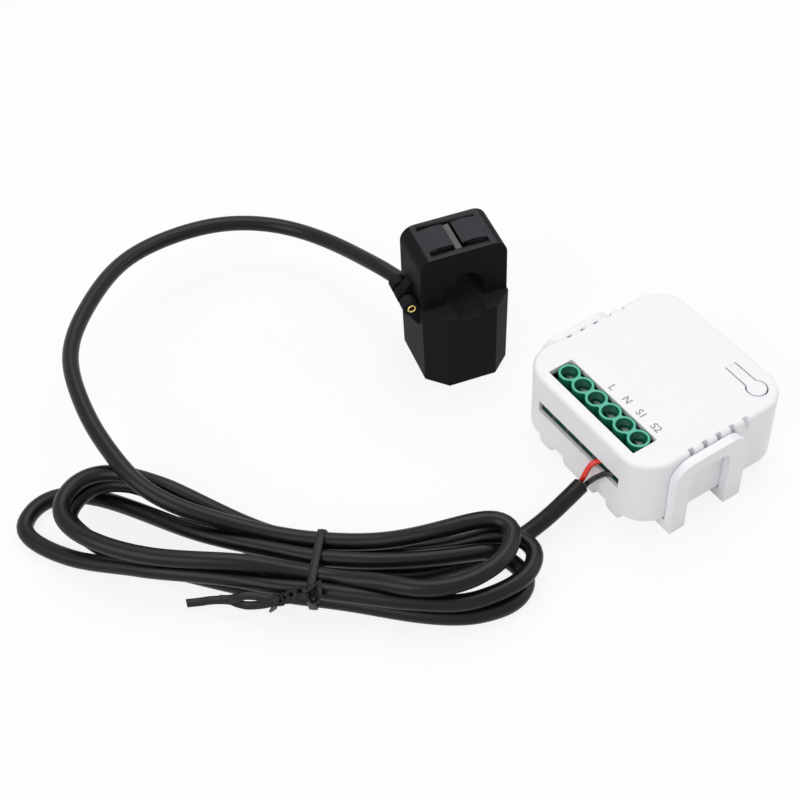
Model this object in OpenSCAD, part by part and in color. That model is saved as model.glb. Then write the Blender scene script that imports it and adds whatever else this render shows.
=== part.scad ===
// Energy monitor: a small wired module in a wall-box housing with a clip-on bracket,
// and a hinged current clamp on a cord that is folded into a tied hank. Millimetres, +Z up.
// The origin is on the table under the middle of the module, +X runs along the terminal row.

/* [Module housing] */
// Width of the housing along the terminal row
body_w = 45.4; // [43:0.2:60]
// Depth of the housing from the terminal side to the rear
body_d = 44.2; // [43:0.2:60]
// Height of the housing top above the table
body_top = 22.8; // [22.4:0.1:28]
// Height of the housing's lower edge above the table
base_h = 4.1; // [3:0.1:4.4]
// Radius of the upright corners
corner_r = 8; // [6:0.5:9]
// Radius of the top edge
edge_r = 1; // [0.4:0.1:1.5]
// Wall thickness of the housing
wall = 1.6; // [1.3:0.1:2]
// Thickness of the housing top
top_t = 1.8; // [1.5:0.1:2.2]
// Thickness of the back cover
cover_t = 1.6; // [1.2:0.1:2]
// Gap between parts that are pushed together
fit_gap = 0.1; // [0.05:0.01:0.15]

/* [Vent notches] */
// Notches on each side edge
vent_n = 5; // [3:1:6]
// Distance between notches
vent_pitch = 4; // [3:0.1:5]
// Width of a notch
vent_w = 1.5; // [1:0.1:2]
// How far a notch reaches in from the side
vent_in = 1.2; // [0.8:0.1:1.2]
// How far a notch runs down the side
vent_drop = 3.4; // [2:0.1:5]

/* [Push button] */
// Distance of the button from the right side
button_in_x = 6.2; // [5.5:0.1:8]
// Distance of the button from the rear
button_in_y = 5.7; // [5.2:0.1:8]
// Radius of the button pad
button_r = 2.3; // [1.8:0.1:2.8]
// Width of the springy tongue
tongue_w = 2.6; // [2:0.1:3.4]
// Length of the tongue from its root to the pad's centre
tongue_l = 9.1; // [7:0.1:12]
// Thickness of the tongue
tongue_t = 1.2; // [0.8:0.1:1.4]
// Width of the slit round the tongue
slit = 0.35; // [0.25:0.05:0.5]
// Radius of the post under the pad
post_r = 1; // [0.7:0.1:1.4]
// Gap between the post and the switch
post_gap = 0.12; // [0.1:0.01:0.2]

/* [Terminals] */
// Number of poles
poles = 6; // [4:1:7]
// Distance between poles
pitch = 5; // [4.6:0.1:5.2]
// Distance of the pole row from the front
row_in = 6.9; // [6.6:0.1:7.4]
// Bore of a pole ring
ring_id = 4; // [3.6:0.1:4.2]
// Drop of the ring tops below the housing top
ring_drop = 0.2; // [0:0.1:1]
// Depth of the terminal block from front to rear
block_d = 9.2; // [8.6:0.1:10]
// Height of the block's shoulder above the board
block_h = 8.6; // [7.8:0.1:9]
// Distance of the top opening's front edge from the front
recess_in = 3; // [2.6:0.1:3.4]
// Depth of the top opening from front to rear
recess_d = 6.8; // [6.6:0.1:7.2]
// Height of the wire slot's lower edge above the table
slot_z = 11.8; // [11.4:0.1:12]
// Height of the wire slot
slot_h = 3.3; // [3:0.1:3.6]
// Diameter of a screw head
screw_d = 3.4; // [3:0.1:3.5]
// Depth of the screw heads below the ring tops
screw_drop = 3.6; // [3:0.1:4]
// Width of a wire cage
cage_w = 3.6; // [3.2:0.1:3.8]

/* [Bracket] */
// Thickness of a bracket arm
arm_t = 2.2; // [1.6:0.1:3]
// Gap between an arm and the housing side
arm_gap = 0.1; // [0.05:0.05:0.4]
// Length of an arm along the side
arm_l = 21.2; // [18:0.2:26]
// Place of the arm's middle along the side
arm_y = -3.7; // [-5:0.1:0]
// Height of the arms above the table
arm_top = 21.7; // [19:0.1:22]
// Width of the front leg
leg_front = 4.5; // [3.5:0.1:6]
// Width of the rear leg
leg_rear = 4.9; // [3.5:0.1:6]
// Radius of the arm's upper corners
arm_r = 5; // [3:0.5:7]
// Height of the top bar of an arm
bar_h = 3.7; // [2.5:0.1:6]
// Height of the feet that run in under the housing
foot_h = 3; // [2:0.1:2.9]

/* [Circuit board] */
// Thickness of the board
board_t = 1.6; // [1:0.1:2]
// Height of the posts that carry the board
board_post = 1.7; // [1.4:0.1:2]

/* [Current clamp] */
// Place of the clamp along the terminal row
ct_x = -53; // [-70:0.5:-50]
// Place of the clamp across the terminal row
ct_y = -19.7; // [-30:0.1:-10]
// Turn of the clamp on the table
ct_turn = 76.7; // [70:0.1:85]
// Width of the lower shell
ct_w = 22.1; // [21.6:0.1:26]
// Depth of the lower shell over its bulges
ct_d = 24.4; // [24:0.1:28]
// Depth of the lower shell's flat sides
ct_side_d = 15; // [14.4:0.1:17]
// Width of the bulge faces
ct_face_w = 12.4; // [11:0.1:13]
// Height of the split between shell and cap
ct_split = 23.3; // [23:0.1:26]
// Width of the cap
cap_w = 22.5; // [22.2:0.1:26]
// Depth of the cap
cap_d = 13.9; // [13:0.1:16]
// Height of the cap's top above the table
cap_top = 38.8; // [38:0.1:44]
// Radius of the cap's upper corners
cap_r = 3.8; // [2:0.2:5]
// Radius of the cable aperture
aperture_r = 5.1; // [4:0.1:5.2]
// Depth of the aperture's centre below the cap's top
aperture_drop = 12.1; // [11.8:0.1:12.4]
// Gap between shell and cap when shut
split_gap = 0.15; // [0.1:0.05:0.3]
// Distance of the hinge axis from the cap's side
hinge_out = 1.9; // [1.7:0.1:2.4]
// Radius of the hinge knuckles
knuckle_r = 2.1; // [1.8:0.1:2.4]
// Diameter of the hollow hinge pin
pin_d = 2.3; // [1.6:0.1:2.4]
// Bore of the hinge pin
pin_bore = 0.8; // [0.5:0.1:1.2]
// Running clearance round the hinge pin
pin_play = 0.05; // [0.03:0.01:0.1]
// Width of a core leg
core_leg = 3.1; // [2.4:0.1:3.2]
// Depth of the core
core_d = 8; // [6:0.1:8.4]

/* [Cord] */
// Diameter of the cord
cord_d = 4; // [3:0.1:4.1]
// Diameter of a wire
wire_d = 1.3; // [0.9:0.1:1.5]
// Distance between neighbouring strands of the hank
strand_step = 4.6; // [4.5:0.1:4.8]
// Width of the twist tie
tie_w = 1.9; // [1.4:0.1:2.4]
// Thickness of the twist tie
tie_t = 0.5; // [0.4:0.1:0.6]

/* [Hidden] */
$fn = 64;
over = 1;

// Housing
body_h = body_top - base_h;
inner_w = body_w - 2 * wall;
inner_d = body_d - 2 * wall;
inner_r = corner_r - wall;
front_y = -body_d / 2;
ceiling_z = body_top - top_t;
board_z = base_h + cover_t + board_post;
board_top = board_z + board_t;
board_w = inner_w - 1;
board_d = inner_d - 1;

// Button
button_x = body_w / 2 - button_in_x;
button_y = body_d / 2 - button_in_y;
root_x = button_x - tongue_l;
root_gap = 0.05;
switch_h = 3.4;
switch_w = 4.2;
plunger_r = 1.2;
plunger_top = board_top + 9.5;

// Terminals
row_y = front_y + row_in;
ring_top = body_top - ring_drop;
ring_neck = 0.3;
ring_od = pitch + ring_neck;
row_w = poles * pitch;
slot_w = row_w - 0.6;
recess_w = row_w + 0.7;
block_w = row_w + 0.3;
block_y0 = front_y + wall + fit_gap;
nose_in = 0.4;
shoulder_z = board_top + block_h;
wire_z = slot_z + slot_h * 0.6;
screw_top = ring_top - screw_drop;
screw_head_h = 1.6;
cage_wall = 0.5;
cage_d = 4.4;
cage_z = slot_z - 0.2;
cage_h = 4.6;
cage_room_w = cage_w + 2 * fit_gap;
cage_room_d = cage_d + 2 * fit_gap;
pin_r = 0.5;

// Studs that carry the board, the front pair behind the terminal pins
stud_r = 2;
stud_in = 5;
stud_clear = 1;
stud_y = [row_y + pin_r + stud_r + stud_clear, board_d / 2 - stud_in];

// Bracket
arm_in = body_w / 2 + arm_gap;
arm_out = arm_in + arm_t;
arm_y0 = arm_y - arm_l / 2;
arm_y1 = arm_y + arm_l / 2;
side_lug = [10, 15.3];
mid_lug = 6.2;
lug_y = front_y + 1.1;
lug_r = 1.8;
base_rear = 16;
base_step = 5;

// Clamp
ct_draft = 1.026;
cap_z = ct_split + split_gap;
aperture_z = cap_top - aperture_drop;
hinge_x = -cap_w / 2 - hinge_out;
hinge_z = ct_split + 0.4;
knuckle_y = [-5.5, -2.3, -1.4, 1.6, 2.5, 5.4];
knuckle_ease = 0.2;
core_in = aperture_r + 1.15;
core_out = core_in + core_leg;
core_top = cap_top - 2.7;
window_z = core_top + 0.7;
crown = 0.7;
yoke_h = 6;
yoke_z = 7.8;
yoke_mid = yoke_z + yoke_h / 2;
base_cover_t = 1.4;
former_x = core_in - 1.2;
former_y = ct_d / 2 - 3;
former_z = 8.4;
former_t = 0.7;
gland_at = [-7.6, 10.85, 15.2];
gland_turn = 116.7;
gland_r = 2.6;
gland_tip_r = 2.2;
gland_in = 1.2;
gland_out = 3.6;

// Cord
cord_r = cord_d / 2;
cord_sides = 8;
hank_sides = 6;
hank_at = [-11, -86.5];
hank_turn = 49.5;
hank_lead = 6;
tie_lift = 0.6;
loop_rings = 12;

// Waist places of the seven strands, as [across, layer], in the order the cord runs
strands = [[5.03, 1], [-4.66, 1], [7.58, 0], [-9.35, 1], [-0.08, 1], [-7.51, 0], [1.31, 0]];
waist = [for (p = strands) [p[0], cord_r + tie_lift + p[1] * strand_step]];

// Half loops between the waist places: [reach, sideways shift, shift sharpness, swell out, swell back,
// layer of the fold, shares of the reach where its rise starts and ends on the way out, and on the way back]
folds = [[42.98, 6.96, 4, 2.92, 7.34, 2.07, 0.2, 0.77, 0.1, 0.46],
    [-60.1, 5.84, 2.69, 5.72, 7.19, 2.08, 0.02, 0.25, 0.08, 0.64],
    [48.09, 6.07, 3.82, 2.15, 4.76, 1.07, 0.44, 0.84, 0.8, 1],
    [-70.95, 12.4, 1.55, 4.68, 8.12, 0.01, 0.36, 0.9, 0.27, 0.87],
    [46.59, 5.21, 3.34, 3.51, 5.94, 0.08, 0.78, 1, 0.8, 1],
    [-59.36, 10.64, 1, 3.42, 8.26, 1.1, 0.8, 1, 0.24, 0.8]];

// Routes of the free stretches, as [x, y, height of the underside above the table]
ct_route = [[-83.3, -28.4, 12], [-94.3, -30.8, 10.5], [-108.2, -38, 10], [-115.2, -52.1, 13],
    [-116.4, -69.6, 15], [-112, -83.8, 17], [-101.1, -97.8, 18], [-92.2, -106.2, 18], [-82.7, -110.4, 18],
    [-65.6, -113.3, 16.5], [-56.4, -112.9, 15.5], [-48.6, -112.7, 14.5], [-40.7, -109.5, 12.5],
    [-33.6, -103.4, 10], [-27.5, -96.9, 7.2], [-22.2, -91, 5.6]];
module_route = [[-0.9, -75.1, 0.2], [2.7, -69.2, 0], [6.1, -58.1, 0], [7.2, -50.2, 0], [7.7, -46.9, 0.2],
    [8, -42.5, 0.6], [7.9, -39.7, 1.4], [7.9, -35.6, 3], [7.6, -32.4, 4.3], [7.3, -29.3, 5.3],
    [6.8, -26.1, 6.1]];
// Tail of the twist tie beside the hank, as [along, across, height], with its turns about itself
tail_route = [[0, -11.7, 6.6], [-1.5, -12.3, 6.2], [-4, -12.3, 5.4], [-7, -11.8, 4.8], [-10, -11.4, 4.3],
    [-14.4, -11, 3.5], [-21.1, -10.8, 2.4], [-28.5, -10.5, 1.2]];
tail_turns = 2.5;
red_route = [[6.1, -24.2, 9.4], [6.6, -23.3, 12], [7, -21.8, 13.5], [7.4, -20, 13.8], [7.5, -17, 13.8]];
black_route = [[8.4, -24.6, 8.7], [9.9, -23.6, 10.6], [11.7, -22.2, 13.1], [12.4, -20, 13.7],
    [12.5, -17, 13.7]];

// Vector helpers
function unit(v) = v / norm(v);
function smooth_at(p, i, t) =
    let (a = i > 0 ? p[i - 1] : 2 * p[0] - p[1], b = p[i], c = p[i + 1])
    let (d = i + 2 < len(p) ? p[i + 2] : 2 * p[i + 1] - p[i])
    0.5 * (2 * b + (c - a) * t + (2 * a - 5 * b + 4 * c - d) * t * t + (3 * b - a - 3 * c + d) * t * t * t);
function smooth(p, k) =
    concat([for (i = [0:len(p) - 2], j = [0:k - 1]) smooth_at(p, i, j / k)], [p[len(p) - 1]]);
function raised(route) = [for (p = route) [p[0], p[1], p[2] + cord_r]];

// One closed tube along a line of points, square at both ends
module tube(p, r, n) {
    last = len(p) - 1;
    along = [for (i = [0:last]) unit(p[min(i + 1, last)] - p[max(i - 1, 0)])];
    side = [for (t = along) unit(cross(t, [0, 0, 1]))];
    points = [for (i = [0:last], k = [0:n - 1])
        let (a = 360 * (k + 0.5) / n)
        p[i] + r * (cos(a) * side[i] + sin(a) * cross(side[i], along[i]))];
    walls = [for (i = [0:last - 1], k = [0:n - 1])
        let (a = i * n + k, b = i * n + (k + 1) % n)
        each [[a, b, a + n], [b, b + n, a + n]]];
    start = [for (k = [1:n - 2]) [0, k + 1, k]];
    end = [for (k = [1:n - 2]) [last * n, last * n + k, last * n + k + 1]];
    polyhedron(points, concat(walls, start, end), convexity = 10);
}

// One closed flat strip along a line of points, turning about itself
module strip(p, w, t, turns) {
    last = len(p) - 1;
    along = [for (i = [0:last]) unit(p[min(i + 1, last)] - p[max(i - 1, 0)])];
    side = [for (v = along) unit(cross(v, [0, 0, 1]))];
    points = [for (i = [0:last], k = [[-1, -1], [1, -1], [1, 1], [-1, 1]])
        let (a = 90 + 360 * turns * i / last, up = cross(side[i], along[i]))
        let (x = k[0] * w / 2, y = k[1] * t / 2)
        p[i] + (x * cos(a) - y * sin(a)) * side[i] + (x * sin(a) + y * cos(a)) * up];
    walls = [for (i = [0:last - 1], k = [0:3])
        let (a = i * 4 + k, b = i * 4 + (k + 1) % 4)
        each [[a, b, a + 4], [b, b + 4, a + 4]]];
    e = 4 * last;
    ends = [[0, 2, 1], [0, 3, 2], [e, e + 1, e + 2], [e, e + 2, e + 3]];
    polyhedron(points, concat(walls, ends), convexity = 10);
}

// Clamp to table coordinates
function ct_point(p) = [ct_x + p[0] * cos(ct_turn) - p[1] * sin(ct_turn),
    ct_y + p[0] * sin(ct_turn) + p[1] * cos(ct_turn), p[2]];
module ct_place() {
    translate([ct_x, ct_y, 0]) rotate(ct_turn) children();
}

// Hank: a point along the folded cord, u from 0 to 6, one unit for each half loop
function ease(x) = let (k = min(1, max(0, x))) k * k * (3 - 2 * k);
function fold_point(i, t) =
    let (f = folds[i], a = waist[i], b = waist[i + 1], s = sin(180 * t), c = cos(180 * t), out = t < 0.5)
    let (from = out ? a[1] : b[1], fold_z = cord_r + f[5] * strand_step)
    let (rise = out ? ease((s - f[6]) / (f[7] - f[6])) : ease((s - f[8]) / (f[9] - f[8])))
    let (shift = f[1] * pow(s * s * (3 - 2 * s), f[2]), swell = (out ? f[3] : f[4]) * 2.6 * s * s * c)
    [f[0] * s, a[0] + (b[0] - a[0]) * (1 - c) / 2 + shift + swell * sign(f[0]),
        from + (fold_z - from) * rise];
function hank_place(q) = [hank_at[0] + q[0] * cos(hank_turn) - q[1] * sin(hank_turn),
    hank_at[1] + q[0] * sin(hank_turn) + q[1] * cos(hank_turn), q[2]];
function hank_end(i, x) = hank_place([x, waist[i][0], waist[i][1]]);
function hank_line(n) = concat([hank_end(0, -hank_lead), hank_end(0, -hank_lead / 2)],
    [for (i = [0:5], j = [0:n - 1]) hank_place(fold_point(i, j / n))],
    [hank_end(6, 0), hank_end(6, hank_lead / 2), hank_end(6, hank_lead)]);

// Least gap of the hank to itself, between points more than six steps apart along the cord
hank_check = hank_line(2 * loop_rings);
hank_gap = min([for (i = [0:len(hank_check) - 8], j = [i + 7:len(hank_check) - 1])
    norm(hank_check[i] - hank_check[j])]) - cord_d;

// Shapes used more than once
module round_rect(w, d, r) {
    square([w - 2 * r, d], center = true);
    square([w, d - 2 * r], center = true);
    for (x = [-1, 1], y = [-1, 1]) translate([x * (w / 2 - r), y * (d / 2 - r)]) circle(r);
}
module edge_profile(r, h, f) {
    square([r - f, h]);
    square([r, h - f]);
    translate([r - f, h - f]) circle(f);
}
module soft_block(w, d, h, r, f) {
    translate([-(w / 2 - r), -(d / 2 - r), 0]) cube([w - 2 * r, d - 2 * r, h]);
    for (x = [0, 1], y = [0, 1]) mirror([x, 0, 0]) mirror([0, y, 0]) translate([w / 2 - r, d / 2 - r, 0])
        rotate_extrude(angle = 90) edge_profile(r, h, f);
    for (y = [0, 1]) mirror([0, y, 0]) translate([-(w / 2 - r), d / 2 - r, 0])
        rotate([90, 0, 90]) linear_extrude(w - 2 * r) edge_profile(r, h, f);
    for (x = [0, 1]) mirror([x, 0, 0]) translate([w / 2 - r, d / 2 - r, 0])
        rotate([90, 0, 0]) linear_extrude(d - 2 * r) edge_profile(r, h, f);
}
module at_poles() {
    for (i = [0:poles - 1]) translate([(i - (poles - 1) / 2) * pitch, row_y, 0]) children();
}
module box_at(x, y, z, size) {
    translate([x - size[0] / 2, y - size[1] / 2, z]) cube(size);
}

// Module pieces
module tongue_plan(grow) {
    translate([button_x, button_y]) circle(button_r + grow);
    translate([root_x, button_y - tongue_w / 2 - grow]) square([tongue_l, tongue_w + 2 * grow]);
}
module vent_notch() {
    translate([body_w / 2, vent_w / 2, body_top]) rotate([90, 0, 0]) linear_extrude(vent_w)
        polygon([[-vent_in, over], [over, over], [over, -vent_drop], [0, -vent_drop],
            [-vent_in, -vent_drop / 4]]);
}
module top_housing() {
    color("whitesmoke") difference() {
        translate([0, 0, base_h]) soft_block(body_w, body_d, body_h, corner_r, edge_r);
        translate([0, 0, base_h - over]) linear_extrude(body_h - top_t + over)
            round_rect(inner_w, inner_d, inner_r);
        translate([-recess_w / 2, front_y + recess_in, ceiling_z - over])
            cube([recess_w, recess_d, top_t + 2 * over]);
        translate([-slot_w / 2, front_y - over, slot_z]) cube([slot_w, wall + 2 * over, slot_h]);
        translate([0, 0, ceiling_z - over]) linear_extrude(top_t + 2 * over) tongue_plan(slit);
        for (x = [0, 1], i = [0:vent_n - 1]) mirror([x, 0, 0])
            translate([0, (i - (vent_n - 1) / 2) * vent_pitch, 0]) vent_notch();
    }
}
module back_cover() {
    color("white") {
        translate([0, 0, base_h]) linear_extrude(cover_t)
            round_rect(inner_w - 2 * fit_gap, inner_d - 2 * fit_gap, inner_r - fit_gap);
        for (x = [-1, 1], y = stud_y) translate([x * (board_w / 2 - stud_in), y, base_h])
            cylinder(r = stud_r, h = cover_t + board_post);
    }
}
module arm_outline() {
    difference() {
        union() {
            translate([arm_y0, 0]) square([arm_l, arm_top - arm_r]);
            translate([arm_y0 + arm_r, 0]) square([arm_l - 2 * arm_r, arm_top]);
            for (y = [arm_y0 + arm_r, arm_y1 - arm_r]) translate([y, arm_top - arm_r]) circle(arm_r);
        }
        translate([arm_y0 + leg_front, -over])
            square([arm_l - leg_front - leg_rear, arm_top - bar_h - arm_r / 2 + over]);
        translate([arm_y0 + leg_front + arm_r / 2, -over])
            square([arm_l - leg_front - leg_rear - arm_r, arm_top - bar_h + over]);
        for (y = [arm_y0 + leg_front + arm_r / 2, arm_y1 - leg_rear - arm_r / 2])
            translate([y, arm_top - bar_h - arm_r / 2]) circle(arm_r / 2);
    }
}
// A lug whose lower corners are rounded, from x0 to x1 and from y0 back
module lug(x0, x1, y0, depth) {
    translate([0, y0 + depth, 0]) rotate([90, 0, 0]) linear_extrude(depth) {
        translate([x0 + lug_r, 0]) square([x1 - x0 - 2 * lug_r, base_h]);
        translate([x0, lug_r]) square([x1 - x0, base_h - lug_r]);
        for (x = [x0 + lug_r, x1 - lug_r]) translate([x, lug_r]) circle(lug_r);
    }
}
module mounting_bracket() {
    color("whitesmoke") {
        translate([-side_lug[1], lug_y + base_step, 0])
            cube([2 * side_lug[1], base_rear - lug_y - base_step, base_h]);
        for (x = [0, 1]) mirror([x, 0, 0]) lug(side_lug[0], side_lug[1], lug_y, base_step + over);
        lug(-mid_lug, mid_lug, lug_y, base_step + over);
        for (x = [0, 1]) mirror([x, 0, 0]) {
            translate([arm_in, 0, 0]) rotate([90, 0, 90]) linear_extrude(arm_t) arm_outline();
            translate([side_lug[1] - over, arm_y0, 0])
                cube([arm_in - side_lug[1] + 2 * over, leg_front, foot_h]);
            translate([side_lug[1] - over, arm_y1 - leg_rear, 0])
                cube([arm_in - side_lug[1] + 2 * over, leg_rear, foot_h]);
        }
    }
}
module button_tongue() {
    color("whitesmoke") {
        difference() {
            translate([0, 0, body_top - tongue_t]) linear_extrude(tongue_t) tongue_plan(0);
            translate([root_x - over, button_y - tongue_w, body_top - tongue_t - over])
                cube([over + root_gap, 2 * tongue_w, tongue_t + 2 * over]);
        }
        translate([button_x, button_y, plunger_top + post_gap])
            cylinder(r = post_r, h = body_top - tongue_t / 2 - plunger_top - post_gap);
    }
}
module terminal_block() {
    groove = 0.9;
    entry_low = 1.3;
    color("seagreen") difference() {
        union() {
            translate([-block_w / 2, block_y0, board_top]) cube([block_w, block_d, shoulder_z - board_top]);
            translate([-slot_w / 2 + fit_gap, front_y + nose_in, slot_z + fit_gap])
                cube([slot_w - 2 * fit_gap, block_y0 - front_y, slot_h - 2 * fit_gap]);
            at_poles() translate([0, 0, shoulder_z - over])
                cylinder(d = ring_od, h = ring_top - shoulder_z + over);
        }
        at_poles() {
            translate([0, 0, cage_z + cage_h]) cylinder(d = ring_id, h = body_top);
            translate([0, 0, board_top - over]) cylinder(r = pin_r + fit_gap, h = body_top / 2);
            box_at(0, 0, cage_z - fit_gap, [cage_room_w, cage_room_d, cage_h + 2 * fit_gap]);
            translate([-cage_room_w / 2, -row_in - over, wire_z - entry_low])
                cube([cage_room_w, row_in, cage_z + cage_h + fit_gap - wire_z + entry_low]);
        }
        for (i = [1:poles - 1])
            translate([(i - poles / 2) * pitch - groove / 2, block_y0 - over, board_top - over])
                cube([groove, over + 0.5, slot_z - board_top]);
    }
}
module terminal_screws() {
    slot_cut = 0.6;
    color("silver") at_poles() difference() {
        union() {
            translate([0, 0, screw_top - screw_head_h]) cylinder(d = screw_d, h = screw_head_h);
            translate([0, 0, wire_z + wire_d / 2 + 0.35])
                cylinder(d = 2, h = screw_top - screw_head_h / 2 - wire_z - wire_d / 2 - 0.35);
        }
        box_at(0, 0, screw_top - 0.8, [screw_d + over, slot_cut, over]);
    }
}
module wire_cages() {
    color("goldenrod") at_poles() difference() {
        box_at(0, 0, cage_z, [cage_w, cage_d, cage_h]);
        translate([-cage_w / 2 + cage_wall, -cage_d, cage_z + cage_wall])
            cube([cage_w - 2 * cage_wall, 2 * cage_d, cage_h - 2 * cage_wall]);
        translate([0, 0, cage_z + cage_h / 2]) cylinder(d = 2 + 2 * fit_gap, h = cage_h);
    }
}
module terminal_pins() {
    tail = 1;
    color("silver") at_poles() translate([0, 0, board_z - tail])
        cylinder(r = pin_r, h = cage_z - board_z + tail);
}
module circuit_board() {
    color("darkgreen") difference() {
        translate([0, 0, board_z]) linear_extrude(board_t) round_rect(board_w, board_d, inner_r - 0.5);
        at_poles() translate([0, 0, board_z - over]) cylinder(r = pin_r + fit_gap, h = board_t + 2 * over);
    }
}

// Parts on the board: places and sizes chosen to clear the terminal block and the switch
radio_size = [22, 10.5, 1];
radio_at = [-6, inner_d / 2 - 7];
shield_size = [13, 8.5, 2.2];
trafo_at = [-11.5, radio_at[1] - 12.5];
trafo_core = [13, 6.4, 10.4];
trafo_leg = 2.4;
trafo_coil_d = 11;
cap_at = [3.5, -3.4];
cap_part_r = 4;
cap_part_h = 10.8;
varistor_at = [inner_w / 2 - 8.6, -5.6];
varistor_r = 3.6;
varistor_t = 3;
bridge_at = [2.5, radio_at[1] - 8];
bridge_size = [6.4, 4.8, 2.6];
meter_at = [inner_w / 2 - 7.1, 4];
meter_size = [5.2, 8.4, 1.6];

module radio_board() {
    color("navy") box_at(radio_at[0], radio_at[1], board_top, radio_size);
}
module radio_shield() {
    color("silver") box_at(radio_at[0] - 3.5, radio_at[1], board_top + radio_size[2], shield_size);
}
module transformer_core() {
    window_h = trafo_core[2] - 2 * trafo_leg;
    color("dimgray") translate([trafo_at[0], trafo_at[1], board_top]) difference() {
        box_at(0, 0, 0, trafo_core);
        for (x = [-1, 1]) translate([x * (trafo_core[0] - trafo_leg) / 4, 0, trafo_leg])
            box_at(0, 0, 0, [trafo_core[0] / 2 - 1.5 * trafo_leg, trafo_core[1] + over, window_h]);
    }
}
module transformer_coil() {
    window_h = trafo_core[2] - 2 * trafo_leg - 2 * fit_gap;
    outer_w = trafo_core[0] - 2 * trafo_leg - 2 * fit_gap;
    color("gold") translate([trafo_at[0], trafo_at[1], board_top + trafo_leg + fit_gap]) difference() {
        linear_extrude(window_h) round_rect(outer_w, trafo_coil_d, 2);
        box_at(0, 0, -over,
            [trafo_leg + 0.4 + 2 * fit_gap, trafo_core[1] + 2 * fit_gap, window_h + 2 * over]);
    }
}
module filter_capacitor() {
    crimp_z = 1.6;
    color("midnightblue") translate([cap_at[0], cap_at[1], board_top]) difference() {
        cylinder(r = cap_part_r, h = cap_part_h);
        translate([0, 0, crimp_z]) rotate_extrude() translate([cap_part_r + 0.25, 0]) circle(0.6);
        translate([0, 0, cap_part_h - 0.4]) cylinder(r = cap_part_r - 0.6, h = over);
    }
}
module surge_varistor() {
    color("royalblue") translate([varistor_at[0], varistor_at[1] + varistor_t / 2, board_top + varistor_r])
        rotate([90, 0, 0]) cylinder(r = varistor_r, h = varistor_t);
}
module bridge_rectifier() {
    color("black") box_at(bridge_at[0], bridge_at[1], board_top, bridge_size);
}
module metering_chip() {
    color("black") box_at(meter_at[0], meter_at[1], board_top, meter_size);
}
module tact_switch() {
    color("black") difference() {
        box_at(button_x, button_y, board_top, [switch_w, switch_w, switch_h]);
        translate([button_x, button_y, board_top + switch_h / 2])
            cylinder(r = plunger_r + fit_gap, h = switch_h);
    }
}
module switch_plunger() {
    rest_gap = 0.6;
    color("dimgray") translate([button_x, button_y, board_top + switch_h / 2 + rest_gap])
        cylinder(r = plunger_r, h = plunger_top - board_top - switch_h / 2 - rest_gap);
}

// Clamp pieces, drawn about the clamp's own axes
module ct_plan(inset) {
    x = ct_w / 2 - inset;
    y = ct_d / 2 - inset;
    corner = inset * 0.4;
    sy = ct_side_d / 2 - corner;
    fx = ct_face_w / 2 - corner;
    polygon([[x, -sy], [x, sy], [fx, y], [-fx, y], [-x, sy], [-x, -sy], [-fx, -y], [fx, -y]]);
}
module hinge_cylinder(r, y0, y1) {
    translate([hinge_x, y1, hinge_z]) rotate([90, 0, 0]) cylinder(r = r, h = y1 - y0);
}
module hinge_leaf(y0, y1, dz) {
    translate([hinge_x, y1, hinge_z]) rotate([90, 0, 0]) linear_extrude(y1 - y0)
        polygon([[0, 0], [-knuckle_r * 0.8, dz * 0.12], [hinge_out * 0.75, dz], [hinge_out + 0.8, dz],
            [hinge_out + 0.8, dz * 0.1]]);
}
module gland_axis() {
    translate(gland_at) rotate([0, 90, gland_turn]) children();
}
module ct_lower_shell() {
    lower_leaf = -5.9;
    color("dimgray") ct_place() difference() {
        union() {
            linear_extrude(ct_split, scale = ct_draft) ct_plan(0);
            for (k = [0, 4]) {
                hinge_cylinder(knuckle_r, knuckle_y[k], knuckle_y[k + 1]);
                hinge_leaf(knuckle_y[k], knuckle_y[k + 1], lower_leaf);
            }
        }
        translate([0, ct_d, aperture_z]) rotate([90, 0, 0]) cylinder(r = aperture_r, h = 2 * ct_d);
        hinge_cylinder(knuckle_r + knuckle_ease, knuckle_y[1], knuckle_y[4]);
        hinge_cylinder(pin_d / 2, knuckle_y[0] - over, knuckle_y[5] + over);
        for (x = [-1, 1]) translate([x * (core_in + core_out) / 2, 0, yoke_z - fit_gap])
            box_at(0, 0, 0, [core_leg + 2 * fit_gap, core_d + 2 * fit_gap, ct_split]);
        box_at(0, 0, yoke_z - fit_gap, [2 * core_in, core_d + 2 * fit_gap, yoke_h + 2 * fit_gap]);
        box_at(0, 0, yoke_mid - former_z - fit_gap,
            [2 * (former_x + fit_gap), 2 * (former_y + fit_gap), 2 * (former_z + fit_gap)]);
        translate([0, 0, -over]) linear_extrude(base_cover_t + over) ct_plan(1.4 - fit_gap);
        box_at(0, 0, base_cover_t - over, [2 * (former_x + fit_gap), 2 * (former_y + fit_gap), yoke_mid]);
        gland_axis() translate([0, 0, -gland_in]) cylinder(r = gland_r + fit_gap / 2, h = 3 * gland_out);
    }
}
module ct_base_cover() {
    color("dimgray") ct_place() linear_extrude(base_cover_t) ct_plan(1.4);
}
module cap_outline() {
    x = cap_w / 2;
    translate([-x, cap_z]) square([2 * x, cap_top - cap_r - cap_z]);
    translate([-x + cap_r, cap_z]) square([2 * (x - cap_r), cap_top - cap_z]);
    for (s = [-1, 1]) translate([s * (x - cap_r), cap_top - cap_r]) circle(cap_r);
}
module arch(r) {
    translate([0, aperture_z]) circle(r);
    translate([-r, 0]) square([2 * r, aperture_z]);
}
module upright(depth) {
    translate([0, depth / 2, 0]) rotate([90, 0, 0]) linear_extrude(depth) children();
}
module window_cut(x0, x1, y0, y1) {
    translate([x0, y0, window_z]) cube([x1 - x0, y1 - y0, cap_top - window_z + over]);
}
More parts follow.
